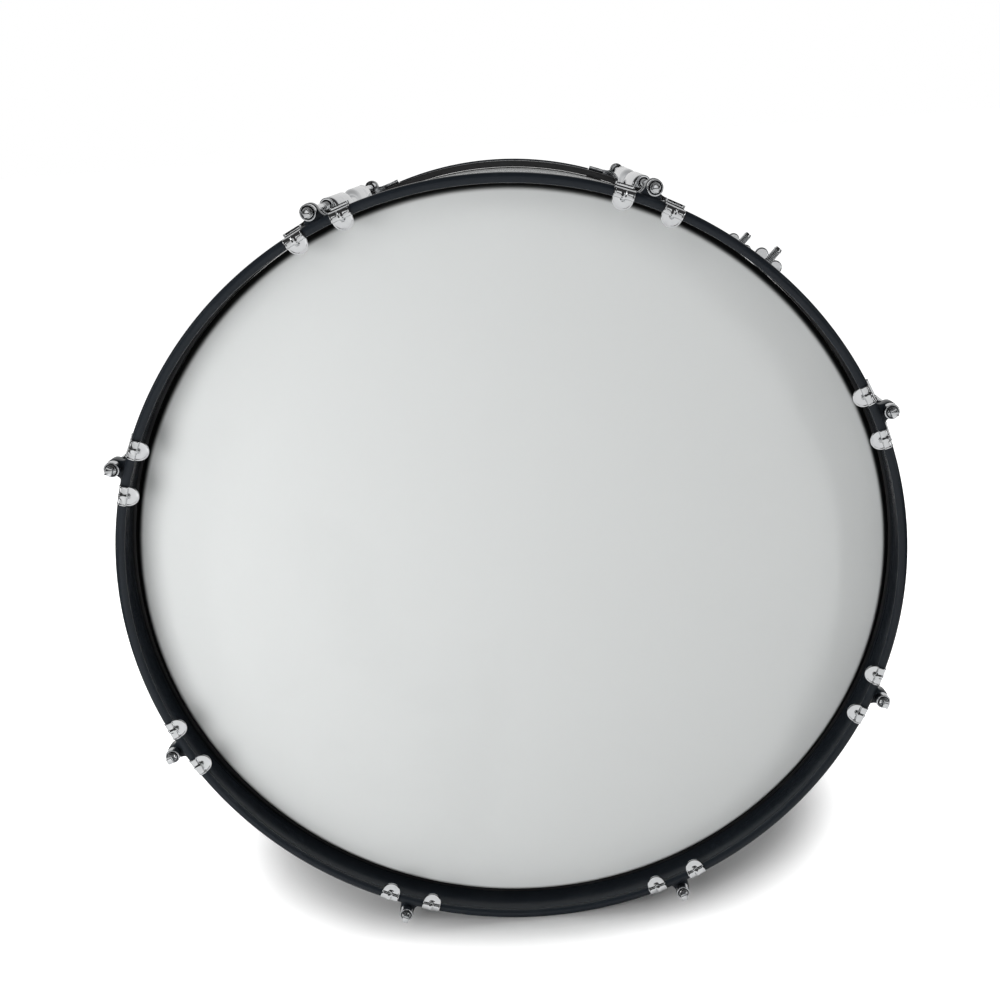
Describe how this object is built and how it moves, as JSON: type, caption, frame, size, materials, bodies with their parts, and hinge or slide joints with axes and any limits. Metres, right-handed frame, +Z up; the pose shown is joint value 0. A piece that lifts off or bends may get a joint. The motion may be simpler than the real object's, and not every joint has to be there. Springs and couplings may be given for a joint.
{
  "type": "marching bass drum",
  "caption": "Two-headed marching bass drum with black hoops, chrome claws, tension rods and long lugs, a plain white shell and carrier studs with wing nuts.",
  "frame": {"origin": "on the ground under the middle of the drum, halfway between the two hoops", "axes": "+Z up, and +Y along the drum's axis from the front head to the rear head"},
  "size_m": [0.6762, 0.448, 0.6762],
  "materials": {
    "white_wrap": "six-ply maple or birch shell under a glossy plain white covering",
    "head_film": "smooth white polyester film with a soft gloss",
    "black_hoop": "black coated aluminium with a satin gloss",
    "black_ring": "plain black coated aluminium ring",
    "chrome": "polished chrome plate over steel stampings and castings",
    "zinc_steel": "zinc plated steel sheet"
  },
  "bodies": {
    "drum_body": {"shell": "white_wrap", "front_head": "head_film", "rear_head": "head_film", "front_flesh_hoop": "black_ring", "rear_flesh_hoop": "black_ring", "lug_1": "chrome", "lug_2": "chrome", "lug_3": "chrome", "lug_4": "chrome", "lug_5": "chrome", "lug_6": "chrome", "lug_7": "chrome", "lug_8": "chrome", "carrier_backing_plate": "zinc_steel", "front_carrier_bolt": "chrome", "rear_carrier_bolt": "chrome", "front_carrier_washer": "chrome", "rear_carrier_washer": "chrome", "air_vent": "chrome"},
    "front_hoop_and_claws": {"front_hoop": "black_hoop", "front_claw_1": "chrome", "front_claw_2": "chrome", "front_claw_3": "chrome", "front_claw_4": "chrome", "front_claw_5": "chrome", "front_claw_6": "chrome", "front_claw_7": "chrome", "front_claw_8": "chrome"},
    "rear_hoop_and_claws": {"rear_hoop": "black_hoop", "rear_claw_1": "chrome", "rear_claw_2": "chrome", "rear_claw_3": "chrome", "rear_claw_4": "chrome", "rear_claw_5": "chrome", "rear_claw_6": "chrome", "rear_claw_7": "chrome", "rear_claw_8": "chrome"},
    "front_rod_1": {"front_tension_rod_1": "chrome"},
    "front_rod_2": {"front_tension_rod_2": "chrome"},
    "front_rod_3": {"front_tension_rod_3": "chrome"},
    "front_rod_4": {"front_tension_rod_4": "chrome"},
    "front_rod_5": {"front_tension_rod_5": "chrome"},
    "front_rod_6": {"front_tension_rod_6": "chrome"},
    "front_rod_7": {"front_tension_rod_7": "chrome"},
    "front_rod_8": {"front_tension_rod_8": "chrome"},
    "rear_rod_1": {"rear_tension_rod_1": "chrome"},
    "rear_rod_2": {"rear_tension_rod_2": "chrome"},
    "rear_rod_3": {"rear_tension_rod_3": "chrome"},
    "rear_rod_4": {"rear_tension_rod_4": "chrome"},
    "rear_rod_5": {"rear_tension_rod_5": "chrome"},
    "rear_rod_6": {"rear_tension_rod_6": "chrome"},
    "rear_rod_7": {"rear_tension_rod_7": "chrome"},
    "rear_rod_8": {"rear_tension_rod_8": "chrome"},
    "front_wing_nut": {"front_wing_nut": "chrome"},
    "rear_wing_nut": {"rear_wing_nut": "chrome"}
  },
  "joints": [
    {"name": "front_hoop_slide", "type": "slide", "parent": "drum_body", "child": "front_hoop_and_claws", "axis": [0, -1, 0], "range_m": [0, 0.004]},
    {"name": "rear_hoop_slide", "type": "slide", "parent": "drum_body", "child": "rear_hoop_and_claws", "axis": [0, 1, 0], "range_m": [0, 0.004]},
    {"name": "front_rod_turn_1", "type": "hinge", "parent": "front_hoop_and_claws", "child": "front_rod_1", "pos_m": [0.13203, -0.21, 0.65683], "axis": [0, -1, 0], "range_deg": [0, 1361.06]},
    {"name": "front_rod_turn_2", "type": "hinge", "parent": "front_hoop_and_claws", "child": "front_rod_2", "pos_m": [0.31874, -0.21, 0.47012], "axis": [0, -1, 0], "range_deg": [0, 1361.06]},
    {"name": "front_rod_turn_3", "type": "hinge", "parent": "front_hoop_and_claws", "child": "front_rod_3", "pos_m": [0.31874, -0.21, 0.20607], "axis": [0, -1, 0], "range_deg": [0, 1361.06]},
    {"name": "front_rod_turn_4", "type": "hinge", "parent": "front_hoop_and_claws", "child": "front_rod_4", "pos_m": [0.13203, -0.21, 0.01935], "axis": [0, -1, 0], "range_deg": [0, 1361.06]},
    {"name": "front_rod_turn_5", "type": "hinge", "parent": "front_hoop_and_claws", "child": "front_rod_5", "pos_m": [-0.13203, -0.21, 0.01935], "axis": [0, -1, 0], "range_deg": [0, 1361.06]},
    {"name": "front_rod_turn_6", "type": "hinge", "parent": "front_hoop_and_claws", "child": "front_rod_6", "pos_m": [-0.31874, -0.21, 0.20607], "axis": [0, -1, 0], "range_deg": [0, 1361.06]},
    {"name": "front_rod_turn_7", "type": "hinge", "parent": "front_hoop_and_claws", "child": "front_rod_7", "pos_m": [-0.31874, -0.21, 0.47012], "axis": [0, -1, 0], "range_deg": [0, 1361.06]},
    {"name": "front_rod_turn_8", "type": "hinge", "parent": "front_hoop_and_claws", "child": "front_rod_8", "pos_m": [-0.13203, -0.21, 0.65683], "axis": [0, -1, 0], "range_deg": [0, 1361.06]},
    {"name": "rear_rod_turn_1", "type": "hinge", "parent": "rear_hoop_and_claws", "child": "rear_rod_1", "pos_m": [0.13203, 0.21, 0.65683], "axis": [0, 1, 0], "range_deg": [0, 1361.06]},
    {"name": "rear_rod_turn_2", "type": "hinge", "parent": "rear_hoop_and_claws", "child": "rear_rod_2", "pos_m": [0.31874, 0.21, 0.47012], "axis": [0, 1, 0], "range_deg": [0, 1361.06]},
    {"name": "rear_rod_turn_3", "type": "hinge", "parent": "rear_hoop_and_claws", "child": "rear_rod_3", "pos_m": [0.31874, 0.21, 0.20607], "axis": [0, 1, 0], "range_deg": [0, 1361.06]},
    {"name": "rear_rod_turn_4", "type": "hinge", "parent": "rear_hoop_and_claws", "child": "rear_rod_4", "pos_m": [0.13203, 0.21, 0.01935], "axis": [0, 1, 0], "range_deg": [0, 1361.06]},
    {"name": "rear_rod_turn_5", "type": "hinge", "parent": "rear_hoop_and_claws", "child": "rear_rod_5", "pos_m": [-0.13203, 0.21, 0.01935], "axis": [0, 1, 0], "range_deg": [0, 1361.06]},
    {"name": "rear_rod_turn_6", "type": "hinge", "parent": "rear_hoop_and_claws", "child": "rear_rod_6", "pos_m": [-0.31874, 0.21, 0.20607], "axis": [0, 1, 0], "range_deg": [0, 1361.06]},
    {"name": "rear_rod_turn_7", "type": "hinge", "parent": "rear_hoop_and_claws", "child": "rear_rod_7", "pos_m": [-0.31874, 0.21, 0.47012], "axis": [0, 1, 0], "range_deg": [0, 1361.06]},
    {"name": "rear_rod_turn_8", "type": "hinge", "parent": "rear_hoop_and_claws", "child": "rear_rod_8", "pos_m": [-0.13203, 0.21, 0.65683], "axis": [0, 1, 0], "range_deg": [0, 1361.06]},
    {"name": "front_wing_nut_turn", "type": "hinge", "parent": "drum_body", "child": "front_wing_nut", "pos_m": [0.24042, -0.0775, 0.57851], "axis": [0.7071, 0, 0.7071], "continuous": true},
    {"name": "rear_wing_nut_turn", "type": "hinge", "parent": "drum_body", "child": "rear_wing_nut", "pos_m": [0.24042, 0.0775, 0.57851], "axis": [0.7071, 0, 0.7071], "continuous": true}
  ],
  "couplings": [
    {"joint": "front_rod_turn_1", "follows": "front_hoop_slide", "rad_per_m": 5938.7},
    {"joint": "front_rod_turn_2", "follows": "front_hoop_slide", "rad_per_m": 5938.7},
    {"joint": "front_rod_turn_3", "follows": "front_hoop_slide", "rad_per_m": 5938.7},
    {"joint": "front_rod_turn_4", "follows": "front_hoop_slide", "rad_per_m": 5938.7},
    {"joint": "front_rod_turn_5", "follows": "front_hoop_slide", "rad_per_m": 5938.7},
    {"joint": "front_rod_turn_6", "follows": "front_hoop_slide", "rad_per_m": 5938.7},
    {"joint": "front_rod_turn_7", "follows": "front_hoop_slide", "rad_per_m": 5938.7},
    {"joint": "front_rod_turn_8", "follows": "front_hoop_slide", "rad_per_m": 5938.7},
    {"joint": "rear_rod_turn_1", "follows": "rear_hoop_slide", "rad_per_m": 5938.7},
    {"joint": "rear_rod_turn_2", "follows": "rear_hoop_slide", "rad_per_m": 5938.7},
    {"joint": "rear_rod_turn_3", "follows": "rear_hoop_slide", "rad_per_m": 5938.7},
    {"joint": "rear_rod_turn_4", "follows": "rear_hoop_slide", "rad_per_m": 5938.7},
    {"joint": "rear_rod_turn_5", "follows": "rear_hoop_slide", "rad_per_m": 5938.7},
    {"joint": "rear_rod_turn_6", "follows": "rear_hoop_slide", "rad_per_m": 5938.7},
    {"joint": "rear_rod_turn_7", "follows": "rear_hoop_slide", "rad_per_m": 5938.7},
    {"joint": "rear_rod_turn_8", "follows": "rear_hoop_slide", "rad_per_m": 5938.7}
  ]
}
